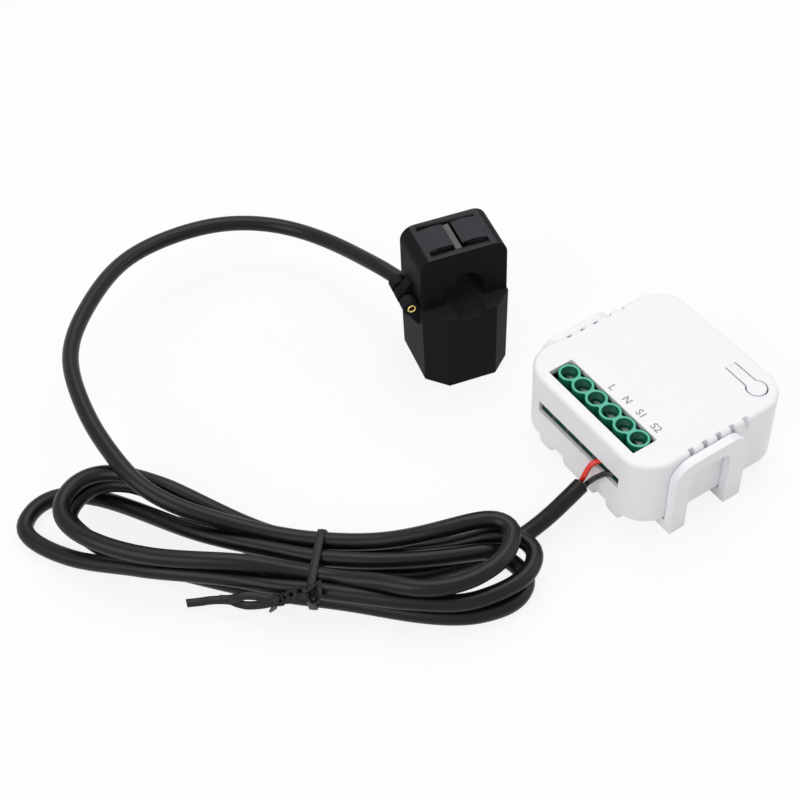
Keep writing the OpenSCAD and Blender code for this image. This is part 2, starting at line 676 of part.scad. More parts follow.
module crowned_pad(x0, x1, y0, y1) {
    half = (x1 - x0) / 2;
    r = (half * half + crown * crown) / (2 * crown);
    translate([x0 + half, y1, 0]) rotate([90, 0, 0]) linear_extrude(y1 - y0) intersection() {
        translate([0, cap_top + crown - r]) circle(r, $fn = 180);
        translate([-half, cap_top - over]) square([2 * half, 2 * over]);
    }
}
module ct_cap() {
    cap_leaf = 4.4;
    latch_w = 6;
    latch_t = 1.1;
    latch_gap = 0.35;
    latch_up = 6;
    latch_down = 4.6;
    window = [[-7.7, -1.5], [0.8, 7.3]];
    window_front = -5.3;
    window_rear = 5;
    tongue = [-3.9, 4];
    rib = [-0.9, 0.2];
    color("dimgray") ct_place() {
        difference() {
            union() {
                upright(cap_d) cap_outline();
                hinge_cylinder(knuckle_r, knuckle_y[2], knuckle_y[3]);
                hinge_leaf(knuckle_y[2], knuckle_y[3], cap_leaf);
                translate([cap_w / 2 - over, -latch_w / 2, cap_z])
                    cube([over + latch_t + latch_gap, latch_w, latch_up]);
                translate([cap_w / 2 + latch_gap, -latch_w / 2, cap_z - latch_down])
                    cube([latch_t, latch_w, latch_down + over]);
            }
            upright(2 * ct_d) arch(aperture_r);
            for (k = [0, 4]) hinge_cylinder(knuckle_r + knuckle_ease,
                knuckle_y[k] - knuckle_ease - (k == 0 ? cap_d : 0),
                knuckle_y[k + 1] + knuckle_ease + (k == 4 ? cap_d : 0));
            hinge_cylinder(pin_d / 2 + pin_play, knuckle_y[2] - over, knuckle_y[3] + over);
            upright(core_d + 2 * fit_gap) difference() {
                translate([-core_out - fit_gap, cap_z - over])
                    square([2 * (core_out + fit_gap), core_top + fit_gap - cap_z + over]);
                arch(core_in - fit_gap);
            }
            window_cut(window[0][0], window[1][1], tongue[1], window_rear);
            window_cut(window[0][0], rib[0], window_front, tongue[0]);
            window_cut(rib[1], window[1][1], window_front, tongue[0]);
            window_cut(window[0][1], rib[0], window_front, window_rear);
            window_cut(rib[1], window[1][0], window_front, window_rear);
        }
        for (w = window) crowned_pad(w[0], w[1], tongue[0], tongue[1]);
    }
}
module ct_hinge_pin() {
    proud = 0.15;
    color("gold") ct_place() difference() {
        hinge_cylinder(pin_d / 2, knuckle_y[0] - proud, knuckle_y[5] + proud);
        hinge_cylinder(pin_bore / 2, knuckle_y[0] - over, knuckle_y[5] + over);
    }
}
module core_lower() {
    color("gray") ct_place() {
        for (x = [-1, 1])
            box_at(x * (core_in + core_out) / 2, 0, yoke_z, [core_leg, core_d, ct_split - yoke_z]);
        box_at(0, 0, yoke_z, [2 * core_in + core_leg, core_d, yoke_h]);
    }
}
module core_upper() {
    color("gray") ct_place() upright(core_d) difference() {
        translate([-core_out, cap_z]) square([2 * core_out, core_top - cap_z]);
        arch(core_in);
    }
}
module coil_bobbin() {
    color("ivory") ct_place() difference() {
        union() {
            for (x = [-1, 1]) box_at(x * (former_x - former_t / 2), 0, yoke_mid - former_z,
                [former_t, 2 * former_y, 2 * former_z]);
            box_at(0, 0, yoke_z - former_t - fit_gap,
                [2 * former_x - former_t, core_d + 2 * (former_t + fit_gap),
                    yoke_h + 2 * (former_t + fit_gap)]);
        }
        box_at(0, 0, yoke_z - fit_gap, [3 * former_x, core_d + 2 * fit_gap, yoke_h + 2 * fit_gap]);
    }
}
module coil_winding() {
    room = former_t + fit_gap;
    color("chocolate") ct_place() difference() {
        box_at(0, 0, yoke_mid - former_z + former_t,
            [2 * (former_x - room), 2 * (former_y - former_t), 2 * (former_z - former_t)]);
        box_at(0, 0, yoke_z - room - fit_gap,
            [3 * former_x, core_d + 2 * (room + fit_gap), yoke_h + 2 * (room + fit_gap)]);
    }
}
module cord_gland() {
    color("black") ct_place() gland_axis() {
        translate([0, 0, -gland_in]) cylinder(r = gland_r, h = gland_in + 1.2);
        translate([0, 0, 1.2]) cylinder(r1 = gland_r, r2 = gland_tip_r, h = gland_out - 1.2);
    }
}

// Cord pieces
function gland_point(s) = ct_point(gland_at + s * [cos(gland_turn), sin(gland_turn), 0]);
cord_start = [for (s = [0, 4, 8]) gland_point(gland_out + s)];
// Straight leads in line with the hank's ends, so that the joined ends stay square
lead = 1.5;
hank_start = [for (i = [2, 1, 0]) hank_end(0, -hank_lead - i * lead)];
hank_exit = [for (i = [0, 1, 2]) hank_end(6, hank_lead + i * lead)];
sheath_end = raised(module_route)[len(module_route) - 1];
sheath_dir = unit(sheath_end - raised(module_route)[len(module_route) - 2]);
module cord_ct() {
    color("black") tube(smooth(concat(cord_start, raised(ct_route), hank_start), 2), cord_r, cord_sides);
}
module cord_hank() {
    color("black") tube(hank_line(loop_rings), cord_r, hank_sides);
}
module cord_module() {
    color("black") tube(smooth(concat(hank_exit, raised(module_route)), 2), cord_r, cord_sides);
}
module wire(route, aside) {
    start = sheath_end + aside * unit(cross(sheath_dir, [0, 0, 1]));
    straight = [for (s = [0, 0.5, 1]) start + s * sheath_dir];
    tube(smooth(concat(straight, route), 2), wire_d / 2, cord_sides);
}
module red_wire() {
    color("red") wire(red_route, -wire_d * 0.6);
}
module black_wire() {
    color("black") wire(black_route, wire_d * 0.6);
}
module tie_plan(grow) {
    hull() for (w = waist) translate(w) circle(cord_r + grow, $fn = 24);
}
module twist_tie() {
    tie_gap = 0.08;
    color("black") translate([hank_at[0], hank_at[1], 0]) rotate(hank_turn) {
        translate([-tie_w / 2, 0, 0]) rotate([90, 0, 90]) linear_extrude(tie_w) difference() {
            tie_plan(tie_gap + tie_t);
            tie_plan(tie_gap);
        }
        strip(smooth(tail_route, 3), tie_w, tie_t, tail_turns);
    }
}

echo(hank_gap = hank_gap);

top_housing();
back_cover();
mounting_bracket();
button_tongue();
terminal_block();
terminal_screws();
wire_cages();
terminal_pins();
circuit_board();
radio_board();
radio_shield();
transformer_core();
transformer_coil();
filter_capacitor();
surge_varistor();
bridge_rectifier();
metering_chip();
tact_switch();
switch_plunger();
ct_lower_shell();
ct_base_cover();
ct_cap();
ct_hinge_pin();
core_lower();
core_upper();
coil_bobbin();
coil_winding();
cord_gland();
cord_ct();
cord_hank();
cord_module();
red_wire();
black_wire();
twist_tie();
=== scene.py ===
import bpy
import bmesh
import math
from mathutils import Matrix, Quaternion, Vector, geometry


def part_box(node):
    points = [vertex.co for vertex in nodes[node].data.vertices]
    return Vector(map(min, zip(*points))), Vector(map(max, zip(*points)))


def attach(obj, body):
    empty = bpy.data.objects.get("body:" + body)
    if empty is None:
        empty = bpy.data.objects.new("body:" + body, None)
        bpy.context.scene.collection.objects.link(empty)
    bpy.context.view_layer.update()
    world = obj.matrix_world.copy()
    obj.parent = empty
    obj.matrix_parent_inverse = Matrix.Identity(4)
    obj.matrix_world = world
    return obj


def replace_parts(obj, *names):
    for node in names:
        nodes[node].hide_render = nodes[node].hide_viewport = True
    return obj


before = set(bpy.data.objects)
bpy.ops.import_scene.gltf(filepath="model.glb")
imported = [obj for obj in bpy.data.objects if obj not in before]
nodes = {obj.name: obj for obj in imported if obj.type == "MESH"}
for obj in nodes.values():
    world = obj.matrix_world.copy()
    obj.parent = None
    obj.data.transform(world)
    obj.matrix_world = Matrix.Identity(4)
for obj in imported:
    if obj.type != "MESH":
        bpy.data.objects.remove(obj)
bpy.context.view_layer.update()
scene = bpy.context.scene
mm = 0.001
print("frame loaded with", len(nodes), "nodes")


# Camera, at the photograph's viewing angle
view = {
    "target": (-45.95, -41.38, 0.0),
    "azimuth": 58.478,
    "elevation": 47.466,
    "roll": -3.023,
    "distance": 389.23,
    "lens": 70.0,
    "sensor": 36.0,
}


def placeCamera():
    around, up = math.radians(view["azimuth"]), math.radians(view["elevation"])
    back = Vector((math.sin(around) * math.cos(up), -math.cos(around) * math.cos(up), math.sin(up)))
    data = bpy.data.cameras.new("camera")
    data.lens = view["lens"]
    data.sensor_width = view["sensor"]
    data.clip_start = 0.01
    camera = bpy.data.objects.new("camera", data)
    camera.rotation_mode = "QUATERNION"
    camera.location = (Vector(view["target"]) + back * view["distance"]) * mm
    turn = Quaternion((0, 0, 1), math.radians(view["roll"]))
    camera.rotation_quaternion = (-back).to_track_quat("-Z", "Y") @ turn
    scene.collection.objects.link(camera)
    scene.camera = camera


placeCamera()
print("camera placed")


# Shader maths: arithmetic on a Signal adds Math nodes to its material
class Signal:
    def __init__(self, finish, socket):
        self.finish = finish
        self.socket = socket

    def maths(self, operation, first, second):
        return self.finish.add("ShaderNodeMath", {"operation": operation}, {0: first, 1: second})

    def __add__(self, other):
        return self.maths("ADD", self, other)

    def __radd__(self, other):
        return self.maths("ADD", other, self)

    def __sub__(self, other):
        return self.maths("SUBTRACT", self, other)

    def __rsub__(self, other):
        return self.maths("SUBTRACT", other, self)

    def __mul__(self, other):
        return self.maths("MULTIPLY", self, other)

    def __rmul__(self, other):
        return self.maths("MULTIPLY", other, self)


class Nodes:
    def __init__(self, tree):
        self.tree = tree

    # any node: its settings first, then the values or links of its sockets
    def add(self, kind, settings, sockets, output=0):
        node = self.tree.nodes.new(kind)
        for key, value in settings.items():
            if key == "stops":
                while len(node.color_ramp.elements) < len(value):
                    node.color_ramp.elements.new(1.0)
                for stop, (at, grey) in zip(node.color_ramp.elements, value):
                    stop.position = at
                    stop.color = (grey, grey, grey, 1)
            else:
                setattr(node, key, value)
        for key, value in sockets.items():
            if isinstance(value, Signal):
                self.tree.links.new(value.socket, node.inputs[key])
            else:
                node.inputs[key].default_value = value
        return Signal(self, node.outputs[output])


class Finish(Nodes):
    def __init__(self, name, **constants):
        self.material = bpy.data.materials.new(name)
        self.material.use_nodes = True
        super().__init__(self.material.node_tree)
        self.shader = self.tree.nodes["Principled BSDF"]
        self.place = self.add("ShaderNodeTexCoord", {}, {}, "Object")
        for key, value in constants.items():
            self.shader.inputs[key.replace("_", " ")].default_value = value

    def feed(self, name, signal):
        self.tree.links.new(signal.socket, self.shader.inputs[name])
        return self

    def stretched(self, scale):
        return self.add("ShaderNodeMapping", {}, {"Vector": self.place, "Scale": scale})

    def noise(self, scale, detail, where=None):
        sockets = {"Vector": where or self.place, "Scale": scale, "Detail": detail, "Roughness": 0.55}
        return self.add("ShaderNodeTexNoise", {}, sockets)

    def grains(self, scale):
        return self.add("ShaderNodeTexVoronoi", {}, {"Vector": self.place, "Scale": scale})

    def waves(self, scale, direction, warp=0.0):
        settings = {"wave_type": "BANDS", "bands_direction": direction}
        sockets = {"Vector": self.place, "Scale": scale, "Distortion": warp, "Detail": 1.0}
        return self.add("ShaderNodeTexWave", settings, sockets, "Fac")

    # 0 up to the low value, 1 from the high one
    def rise(self, signal, low, high):
        return self.add("ShaderNodeValToRGB", {"stops": [(low, 0.0), (high, 1.0)]}, {"Fac": signal})

    def mix(self, share, first, second):
        rgba = [tuple(c) + (1,) if isinstance(c, tuple) and len(c) == 3 else c for c in (first, second)]
        return self.add("ShaderNodeMix", {"data_type": "RGBA"}, {0: share, 6: rgba[0], 7: rgba[1]}, 2)

    def axis(self, which):
        return self.add("ShaderNodeSeparateXYZ", {}, {0: self.place}, which)

    # 1 on faces that look up, 0 on walls
    def upward(self, low, high):
        facing = self.add("ShaderNodeTexCoord", {}, {}, "Normal")
        up = self.add("ShaderNodeSeparateXYZ", {}, {0: facing}, 2)
        return self.rise(up, low, high)

    def relief(self, height, strength, depth):
        sockets = {"Height": height, "Strength": strength, "Distance": depth}
        return self.feed("Normal", self.add("ShaderNodeBump", {}, sockets))


# Plastics: cloudy colour, uneven gloss and a fine grain, a painted highlight on raised tops, a shaded front
moulding = {
    "patch": 140.0,
    "patchDetail": 4.0,
    "glossScale": 9,
    "glossSpread": 0.1,
    "fineDetail": 2.0,
    "speckScale": 0.7,
    "speckShare": 0.4,
    "grainStrength": 0.35,
    "facingUp": (0.5, 0.98),
    "topLightFade": 0.15,
    "shadeFade": 0.05,
}


# tones, gloss, then the scale and depth of the grain and the level of its shine; painted top light
# above a height, painted shade ahead of a distance, both in mm
def plastic(name, tone, cloud, rough, grain, depth, level=0.5, paintedTopLight=None, above=0.0, shade=None,
            ahead=0.0):
    finish = Finish(name, Specular_IOR_Level=level)
    patch, fine, spread = moulding["patch"], moulding["fineDetail"], moulding["glossSpread"]
    colour = finish.mix(finish.noise(patch, moulding["patchDetail"]), tone, cloud)
    # painted highlight: faces that look up, above the height, are made lighter as if lit from above
    if paintedTopLight:
        high = finish.rise(finish.axis(2) * (1 / mm) - above, 0.0, moulding["topLightFade"])
        colour = finish.mix(finish.upward(*moulding["facingUp"]) * high, colour, paintedTopLight)
    # painted shade: faces ahead of the distance are made darker
    if shade:
        front = finish.rise(0 - finish.axis(1) * (1 / mm) - ahead, 0.0, moulding["shadeFade"])
        colour = finish.mix(front, colour, shade)
    finish.feed("Base Color", colour)
    gloss = finish.noise(patch * moulding["glossScale"], fine)
    finish.feed("Roughness", rough - spread / 2 + gloss * spread)
    if depth:
        specks = finish.grains(grain * moulding["speckScale"]) * moulding["speckShare"]
        finish.relief(finish.noise(grain, fine) + specks, moulding["grainStrength"], depth)
    return finish


# Metals: streaks of wear along the piece
brushing = {
    "stretch": (1, 6, 6),
    "detail": 3.0,
    "glossSpread": 0.16,
    "strength": 0.15,
    "depth": 0.00002,
}


def metal(name, tone, worn, rough, lines):
    finish = Finish(name, Metallic=1.0)
    spread = brushing["glossSpread"]
    streaks = finish.noise(lines, brushing["detail"], finish.stretched(brushing["stretch"]))
    finish.feed("Base Color", finish.mix(streaks, tone, worn))
    finish.feed("Roughness", rough - spread / 2 + streaks * spread)
    return finish.relief(streaks, brushing["strength"], brushing["depth"])


whitePlastic = plastic("white_plastic", (0.865, 0.858, 0.885), (0.84, 0.833, 0.855), 0.42, 5200.0, 0.00003)
whiteInner = plastic("white_inner", (0.82, 0.81, 0.83), (0.79, 0.78, 0.80), 0.5, 5200.0, 0.00003)
# painted highlight: the cap's faces that look up, above 38.45 mm, are lighter
clampPlastic = plastic("clamp_plastic", (0.0062, 0.0058, 0.0074), (0.0078, 0.0074, 0.0092), 0.6,
                       3400.0, 0.00005, 0.06, paintedTopLight=(0.04, 0.0395, 0.0445), above=38.45)
# painted highlight: the shell's upward ledges are a little lighter
shellPlastic = plastic("shell_plastic", (0.0066, 0.0062, 0.0078), (0.0082, 0.0078, 0.0096), 0.6,
                       3400.0, 0.00005, 0.06, paintedTopLight=(0.017, 0.0165, 0.019), above=1.0)
# pale grey for the strip on the clamp's web: a painted highlight of the lit rib
webHighlight = plastic("web_highlight", (0.085, 0.085, 0.088), (0.07, 0.07, 0.073), 0.5, 3400.0, 0.00004, 0.3)
sheathRubber = plastic("sheath_rubber", (0.0042, 0.0039, 0.0054), (0.0058, 0.0054, 0.0074), 0.32,
                       2600.0, 0.00002, 0.22)
redInsulation = plastic("red_insulation", (0.84, 0.04, 0.022), (0.76, 0.028, 0.016), 0.28, 2600.0, 0.00001)
blackInsulation = plastic("black_insulation", (0.008, 0.008, 0.009), (0.013, 0.013, 0.014), 0.28,
                          2600.0, 0.00001)
tiePlastic = plastic("tie_plastic", (0.0045, 0.0038, 0.0034), (0.009, 0.0075, 0.0065), 0.4,
                     2400.0, 0.00005, 0.25)
# painted highlight: the rings' upward tops are a lighter mint; painted shade: the face in the wire slot is
# darkened
terminalGreen = plastic("terminal_green", (0.007, 0.18, 0.105), (0.005, 0.145, 0.082), 0.34,
                        3000.0, 0.00002, paintedTopLight=(0.05, 0.42, 0.285), above=20.0,
                        shade=(0.002, 0.016, 0.01), ahead=21.0)
chipEpoxy = plastic("chip_epoxy", (0.02, 0.02, 0.021), (0.035, 0.035, 0.036), 0.6, 4200.0, 0.00004)
ferriteGrey = plastic("ferrite_grey", (0.05, 0.05, 0.053), (0.09, 0.09, 0.095), 0.7, 3000.0, 0.00006)
bobbinIvory = plastic("bobbin_ivory", (0.72, 0.66, 0.53), (0.66, 0.6, 0.47), 0.45, 3600.0, 0.00003)
legendGrey = plastic("legend_grey", (0.24, 0.24, 0.25), (0.29, 0.29, 0.30), 0.55, 3600.0, 0.0)
plungerGrey = plastic("plunger_grey", (0.03, 0.03, 0.032), (0.05, 0.05, 0.052), 0.45, 3600.0, 0.00003)
sleeveBlue = plastic("sleeve_blue", (0.012, 0.035, 0.17), (0.02, 0.055, 0.23), 0.3, 2600.0, 0.00001)
brightSteel = metal("bright_steel", (0.74, 0.74, 0.73), (0.56, 0.56, 0.56), 0.26, 900.0)
pinBrass = metal("pin_brass", (0.86, 0.63, 0.25), (0.62, 0.42, 0.14), 0.24, 1100.0)
cageBrass = metal("cage_brass", (0.72, 0.56, 0.26), (0.55, 0.41, 0.17), 0.34, 900.0)


# Circuit boards: tracks under the mask, in lanes one way or the other
tracking = {
    # scale, then where the edge starts and ends
    "lanes": (110.0, 0.55, 0.62),
    "rows": (90.0, 0.6, 0.66),
    "patches": (160.0, 0.48, 0.52),
    "strength": 0.3,
    "depth": 0.00003,
}


def boardMask(name, tone, track):
    finish = Finish(name, Roughness=0.3, Coat_Weight=0.3)
    (lane, *laneEdge), (row, *rowEdge) = tracking["lanes"], tracking["rows"]
    patch, *patchEdge = tracking["patches"]
    lanes = finish.rise(finish.waves(lane, "X"), *laneEdge)
    rows = finish.rise(finish.waves(row, "Y"), *rowEdge)
    patches = finish.rise(finish.noise(patch, 1.0), *patchEdge)
    tracks = lanes * patches + rows * (1 - patches)
    finish.feed("Base Color", finish.mix(tracks, tone, track))
    return finish.relief(tracks, tracking["strength"], tracking["depth"])


# Windings: turns of wire or tape at their pitch
winding = {
    # one wave at a scale of 1, in metres
    "waveLength": 0.314,
    "warp": 0.15,
    "glossScale": 700.0,
    "glossDetail": 2.0,
    "glossSpread": 0.1,
    "strength": 0.7,
    "depth": 0.00012,
}


def wound(name, tone, groove, pitch, rough, metallic):
    finish = Finish(name, Metallic=metallic)
    turns = finish.waves(winding["waveLength"] / pitch, "Z", winding["warp"])
    finish.feed("Base Color", finish.mix(turns, groove, tone))
    gloss = finish.noise(winding["glossScale"], winding["glossDetail"])
    finish.feed("Roughness", rough + gloss * winding["glossSpread"])
    return finish.relief(turns, winding["strength"], winding["depth"])


boardGreen = boardMask("board_green", (0.006, 0.085, 0.03), (0.014, 0.15, 0.055))
boardBlue = boardMask("board_blue", (0.008, 0.02, 0.11), (0.014, 0.045, 0.2))
copperTurns = wound("copper_turns", (0.55, 0.22, 0.08), (0.22, 0.07, 0.02), 0.00025, 0.3, 0.9)
coilTape = wound("coil_tape", (0.72, 0.52, 0.06), (0.6, 0.41, 0.03), 0.0009, 0.3, 0.0)
print("finishes made")


# Small helpers for pieces
def coat(data, finish):
    data.materials.clear()
    data.materials.append(finish.material)


def linked(name, data, finish, body):
    piece = bpy.data.objects.new(name, data)
    scene.collection.objects.link(piece)
    coat(data, finish)
    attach(piece, body)
    return piece


def meshOf(curveObject):
    seen = curveObject.evaluated_get(bpy.context.evaluated_depsgraph_get())
    return bpy.data.meshes.new_from_object(seen)


# the form as a mesh; a crease angle makes it smooth up to that angle
def meshFrom(form, name, crease=None):
    mesh = bpy.data.meshes.new(name)
    form.to_mesh(mesh)
    form.free()
    if crease:
        mesh.shade_smooth()
        mesh.set_sharp_from_angle(angle=math.radians(crease))
    return mesh


def onTable(origin, degrees, along, across, height):
    turn = math.radians(degrees)
    x = origin[0] + along * math.cos(turn) - across * math.sin(turn)
    y = origin[1] + along * math.sin(turn) + across * math.cos(turn)
    return Vector((x, y, height))


def fromTable(origin, degrees, x, y):
    turn = math.radians(degrees)
    dx, dy = x - origin[0], y - origin[1]
    return dx * math.cos(turn) + dy * math.sin(turn), dy * math.cos(turn) - dx * math.sin(turn)


def eased(share):
    share = min(1.0, max(0.0, share))
    return share * share * (3 - 2 * share)


def lengthOf(points):
    return sum((b - a).length for a, b in zip(points, points[1:]))


# the same line as a count of equal steps
def evenly(points, count):
    marks = [0.0]
    for a, b in zip(points, points[1:]):
        marks.append(marks[-1] + (b - a).length)
    line, i = [], 0
    for k in range(count + 1):
        at = marks[-1] * k / count
        while i < len(points) - 2 and marks[i + 1] < at:
            i += 1
        line.append(points[i].lerp(points[i + 1], (at - marks[i]) / (marks[i + 1] - marks[i])))
    return line


def smoothed(points, steps):
    # Catmull-Rom through the points, with mirrored ends
    padded = [2 * points[0] - points[1]] + points + [2 * points[-1] - points[-2]]
    line = []
    for a, b, c, d in zip(padded, padded[1:], padded[2:], padded[3:]):
        for k in range(steps):
            t = k / steps
            bend = (2 * a - 5 * b + 4 * c - d) * t * t + (3 * b - a - 3 * c + d) * t ** 3
            line.append(0.5 * (2 * b + (c - a) * t + bend))
    return line + [points[-1]]


def lineCurve(name, points, radius):
    curve = bpy.data.curves.new(name, "CURVE")
    curve.dimensions = "3D"
    curve.bevel_depth = radius * mm
    curve.bevel_resolution = 6
    curve.use_fill_caps = True
    spline = curve.splines.new("POLY")
    spline.points.add(len(points) - 1)
    for dot, point in zip(spline.points, points):
        dot.co = (*(Vector(point) * mm), 1)
    spline.use_smooth = True
    return curve


# Cord: from the clamp's gland to the hank, round its loops, and on to the module
cord = {
    "diameter": 4.0,
    "strandStep": 4.6,
    "tieLift": 0.6,
    "hankAt": (-11, -86.5),
    "hankTurn": 49.5,
    "hankLead": 6,
    "leadEase": 1.5,
    "clampAt": (-53, -19.7),
    "clampTurn": 76.7,
    "glandAt": (-7.6, 10.85, 15.2),
    "glandTurn": 116.7,
    "glandOut": 3.6,
    "glandLead": (0, 4, 8),
    "loopSteps": 72,
    "freeSteps": 10,
    # even spacing, passes of the easing, its share on the free stretches, where it fades along the hank,
    # and the points at each end that keep still or come in gently
    "spacing": 1.2,
    "passes": 45,
    "freeShare": 0.9,
    "fade": (24, 37),
    "stillEnd": (4, 12),
    # strands within this of the middle pass through the tie
    "waistReach": 14,
    # brings the peak of a fold's swell to 1
    "swellPeak": 2.6,
    # strands that the tie draws together: along, and shift across
    "drawn": {
        1: [(-20, 0.0), (0, 0.0), (12, -0.6), (24, -1.4), (40, 0.0)],
        3: [(-58, 0.0), (-40, 1.0), (-20, 2.1), (-4, 1.0), (8, 0.7), (22, 0.6), (36, 0.0)],
        4: [(-32, 0.0), (-12, 0.9), (2, 0.2), (14, 0.0)],
    },
    # across, layer of the seven strands at the waist
    "waist": [(5.03, 1), (-4.66, 1), (7.58, 0), (-9.35, 1), (-0.08, 1), (-7.51, 0), (1.31, 0)],
    # reach, sideways shift, shift sharpness, swell out and back, layer of the fold,
    # where it rises out and back
    "folds": [(42.98, 6.96, 4, (2.92, 7.34), 2.07, (0.2, 0.77), (0.1, 0.46)),
              (-60.1, 5.84, 2.69, (5.72, 7.19), 2.08, (0.02, 0.25), (0.08, 0.64)),
              (48.09, 6.07, 3.82, (2.15, 4.76), 1.07, (0.44, 0.84), (0.8, 1)),
              (-70.95, 12.4, 1.55, (4.68, 8.12), 0.01, (0.36, 0.9), (0.27, 0.87)),
              (46.59, 5.21, 3.34, (3.51, 5.94), 0.08, (0.78, 1), (0.8, 1)),
              (-59.36, 10.64, 1, (3.42, 8.26), 1.1, (0.8, 1), (0.24, 0.8))],
    # x, y and height of the underside above the table
    "clampRoute": [(-83.3, -28.4, 12), (-94.3, -30.8, 10.5), (-108.2, -38, 10), (-115.2, -52.1, 13),
                   (-116.4, -69.6, 15), (-112, -83.8, 17), (-101.1, -97.8, 18), (-92.2, -106.2, 18),
                   (-82.7, -110.4, 18), (-65.6, -113.3, 16.5), (-56.4, -112.9, 15.5), (-48.6, -112.7, 14.5),
                   (-40.7, -109.5, 12.5), (-33.6, -103.4, 10), (-27.5, -96.9, 7.2), (-22.2, -91, 5.6)],
    "moduleRoute": [(-0.9, -75.1, 0.2), (2.7, -69.2, 0), (6.1, -58.1, 0), (7.2, -50.2, 0),
                    (7.7, -46.9, 0.2), (8, -42.5, 0.6), (7.9, -39.7, 1.4), (7.9, -35.6, 3),
                    (7.6, -32.4, 4.3), (7.3, -29.3, 5.3), (6.8, -26.1, 6.1)],
}
cordRadius = cord["diameter"] / 2


def hankPoint(along, across, height):
    return onTable(cord["hankAt"], cord["hankTurn"], along, across, height)


# along and across the hank
def inHank(point):
    return fromTable(cord["hankAt"], cord["hankTurn"], point.x, point.y)


def clampPoint(x, y, z):
    return onTable(cord["clampAt"], cord["clampTurn"], x, y, z)


def inClamp(co):
    x, y = fromTable(cord["clampAt"], cord["clampTurn"], co.x / mm, co.y / mm)
    return x, y, co.z / mm


def strandHeight(layer):
    return cordRadius + cord["tieLift"] + layer * cord["strandStep"]


def waistPoint(strand, along):
    across, layer = cord["waist"][strand]
    return hankPoint(along, across, strandHeight(layer))


def foldPoint(i, t):
    reach, shift, sharpness, swells, layer, *rises = cord["folds"][i]
    back = int(t >= 0.5)
    (across, low), (nextAcross, high) = cord["waist"][i], cord["waist"][i + 1]
    s, c = math.sin(math.pi * t), math.cos(math.pi * t)
    side = across + (nextAcross - across) * (1 - c) / 2 + shift * (s * s * (3 - 2 * s)) ** sharpness
    side += swells[back] * cord["swellPeak"] * s * s * c * math.copysign(1, reach)
    height = strandHeight(high if back else low)
    start, end = rises[back]
    foldHeight = cordRadius + layer * cord["strandStep"]
    return hankPoint(reach * s, side, height + (foldHeight - height) * eased((s - start) / (end - start)))


def glandPoint(out):
    turn = math.radians(cord["glandTurn"])
    x, y, z = cord["glandAt"]
    return clampPoint(x + out * math.cos(turn), y + out * math.sin(turn), z)


def raised(route):
    return [Vector((x, y, h + cordRadius)) for x, y, h in route]


def cordLine():
    lead, last = cord["hankLead"], len(cord["folds"])
    start = [glandPoint(cord["glandOut"] + out) for out in cord["glandLead"]]
    entry = [waistPoint(0, -lead - i * cord["leadEase"]) for i in (2, 1, 0)]
    leave = [waistPoint(last, lead + i * cord["leadEase"]) for i in (0, 1, 2)]
    line = smoothed(start + raised(cord["clampRoute"]) + entry, cord["freeSteps"])
    line.append(waistPoint(0, -lead / 2))
    steps = cord["loopSteps"]
    line += [foldPoint(i, k / steps) for i in range(last) for k in range(steps)]
    line += [waistPoint(last, 0), waistPoint(last, lead / 2)]
    return line + smoothed(leave + raised(cord["moduleRoute"]), cord["freeSteps"])


# the cord's own stiffness: small waves even out, the folds keep their radius
def settled(points):
    near, far = cord["fade"]
    still, free = cord["stillEnd"]
    entry, leave = waistPoint(0, 0), waistPoint(len(cord["folds"]), 0)
    first = min(range(len(points)), key=lambda i: (points[i] - entry).length)
    last = min(range(len(points)), key=lambda i: (points[i] - leave).length)
    shares = []
    for i, point in enumerate(points):
        along = abs(inHank(point)[0])
        tied = first <= i <= last or along < near
        share = 1 - eased((along - near) / (far - near)) if tied else cord["freeShare"]
        end = min(i, len(points) - 1 - i)
        shares.append(share * eased((end - still) / (free - still)))
    for _ in range(cord["passes"]):
        middle = [(a + b) / 2 for a, b in zip(points, points[2:])]
        inside = [p.lerp(m, 0.5 * w) for p, m, w in zip(points[1:-1], middle, shares[1:-1])]
        points = points[:1] + inside + points[-1:]
    for point in points:
        point.z = max(point.z, cordRadius)
    return points


# where the cord passes the waist, in order
def crossings(points):
    spots = []
    for i, (a, b) in enumerate(zip(points, points[1:])):
        if inHank(a)[0] * inHank(b)[0] <= 0 and abs(inHank(a)[1]) < cord["waistReach"]:
            spots.append(i)
    return spots


def drawnIn(points):
    side = onTable((0, 0), cord["hankTurn"], 0, 1, 0)
    spots = crossings(points)
    for strand, shifts in cord["drawn"].items():
        for step in (1, -1):
            i = spots[strand] + (step > 0)
            while shifts[0][0] < inHank(points[i])[0] < shifts[-1][0]:
                here = inHank(points[i])[0]
                for (a, p), (b, q) in zip(shifts, shifts[1:]):
                    if a <= here < b:
                        points[i] = points[i] + side * (p + (q - p) * eased((here - a) / (b - a)))
                        break
                i += step
    return points


wholeLine = cordLine()
cordPoints = drawnIn(settled(evenly(wholeLine, round(lengthOf(wholeLine) / cord["spacing"]))))
cordLength = lengthOf(cordPoints)
cordPiece = linked("sheathed_cord", lineCurve("sheathed_cord", cordPoints, cordRadius), sheathRubber,
                   "base")
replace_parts(cordPiece, "cord_ct", "cord_hank", "cord_module")
print("cord laid,", round(cordLength), "mm")


# Two insulated conductors from the end of the sheath into the terminals
conductors = {
    "diameter": 1.35,
    "aside": 0.58,
    "lead": (0, 0.5, 1),
    "steps": 8,
    "red": [(6.15, -24.8, 9.9), (6.1, -23.7, 11.7), (6.35, -22.7, 13), (6.85, -21.7, 13.6),
            (7.35, -20.2, 13.8), (7.5, -17, 13.8)],
    "black": [(8.05, -24.25, 9.7), (8.95, -23.05, 11.2), (10.15, -22.1, 12.6), (11.4, -21.3, 13.4),
              (12.2, -20, 13.7), (12.5, -17, 13.7)],
}


